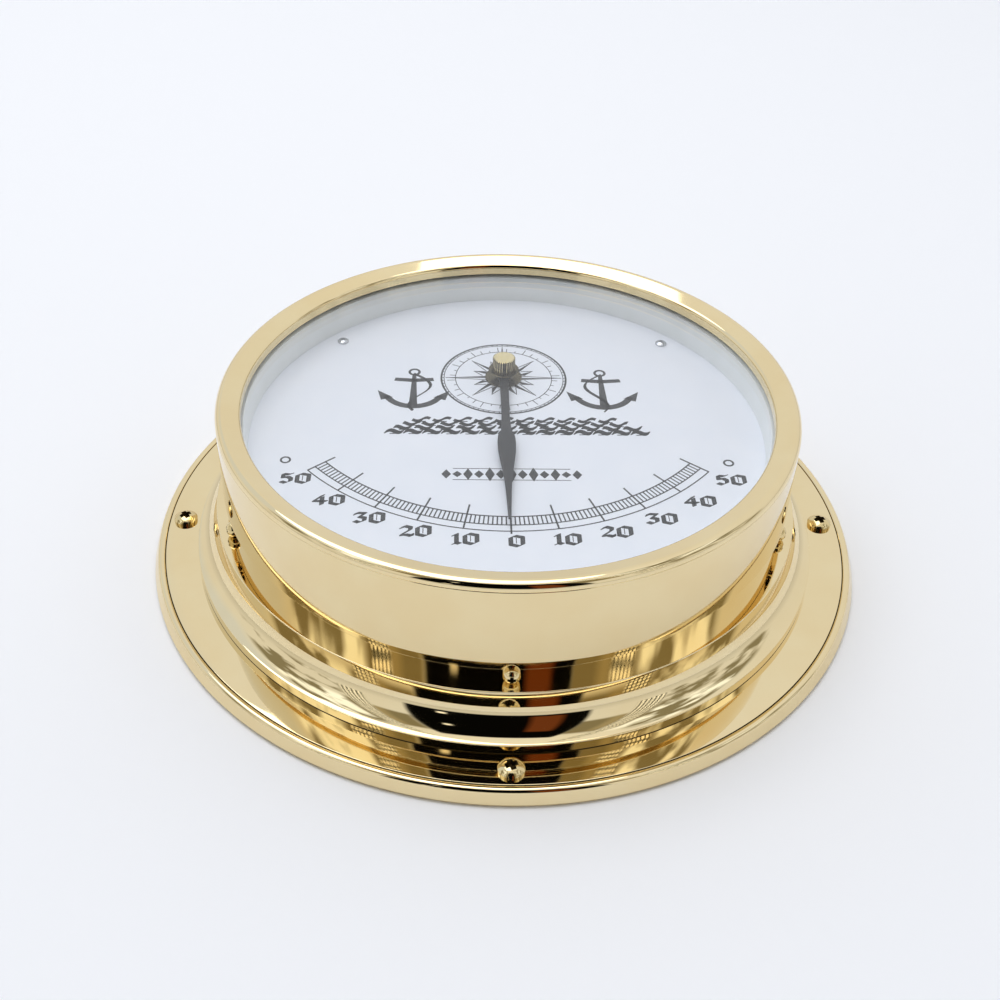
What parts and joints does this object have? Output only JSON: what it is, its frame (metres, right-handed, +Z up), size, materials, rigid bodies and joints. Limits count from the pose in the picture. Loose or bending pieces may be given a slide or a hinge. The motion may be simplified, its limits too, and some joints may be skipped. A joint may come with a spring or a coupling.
{
  "type": "ship inclinometer",
  "caption": "Round brass ship inclinometer with a stepped mounting flange, rolled bezel, glazed white degree dial and a free pendulum pointer.",
  "frame": {"origin": "on the table plane under the centre of the mounting flange's back rim", "axes": "+Z up the case axis out of the dial, +Y towards the top of the dial, so the pointer hangs towards -Y"},
  "size_m": [0.18, 0.18, 0.0456],
  "materials": {
    "ring_brass": "polished and lacquered",
    "bezel_brass": "polished and lacquered",
    "inner_brass": "turned, unlacquered",
    "screw_brass": "polished",
    "nut_brass": "turned and knurled",
    "bush_bronze": "turned bronze",
    "window_glass": "clear",
    "gasket_rubber": "matt",
    "spacer_enamel": "satin pale grey-green",
    "dial_enamel": "satin white",
    "nickel_screws": "polished nickel",
    "black_bush": "matt black",
    "pointer_black": "semi-gloss black",
    "plain_steel": "turned"
  },
  "bodies": {
    "case": {"mounting_ring": "ring_brass", "case_drum": "inner_brass", "bezel": "bezel_brass", "glass": "window_glass", "glass_gasket": "gasket_rubber", "spacer_ring": "spacer_enamel", "dial": "dial_enamel", "dial_screws": "nickel_screws", "dial_bush": "black_bush", "dial_pillars": "inner_brass", "bridge_posts": "inner_brass", "bearing_bridge": "inner_brass", "bridge_screws": "plain_steel", "base_screws": "plain_steel", "front_bush": "bush_bronze", "rear_bush": "bush_bronze", "neck_screws": "screw_brass", "flange_screws": "screw_brass"},
    "pendulum": {"arbor": "plain_steel", "pointer": "pointer_black", "pointer_washer": "nut_brass", "knurled_nut": "nut_brass", "pendulum_collet": "inner_brass", "collet_screw": "plain_steel", "pendulum_rod": "plain_steel", "pendulum_bob": "inner_brass", "bob_nut": "plain_steel"}
  },
  "joints": [
    {"name": "pendulum_swing", "type": "hinge", "parent": "case", "child": "pendulum", "pos_m": [0, 0.0233, 0.015], "axis": [0, 0, 1], "range_deg": [-70, 70]}
  ]
}
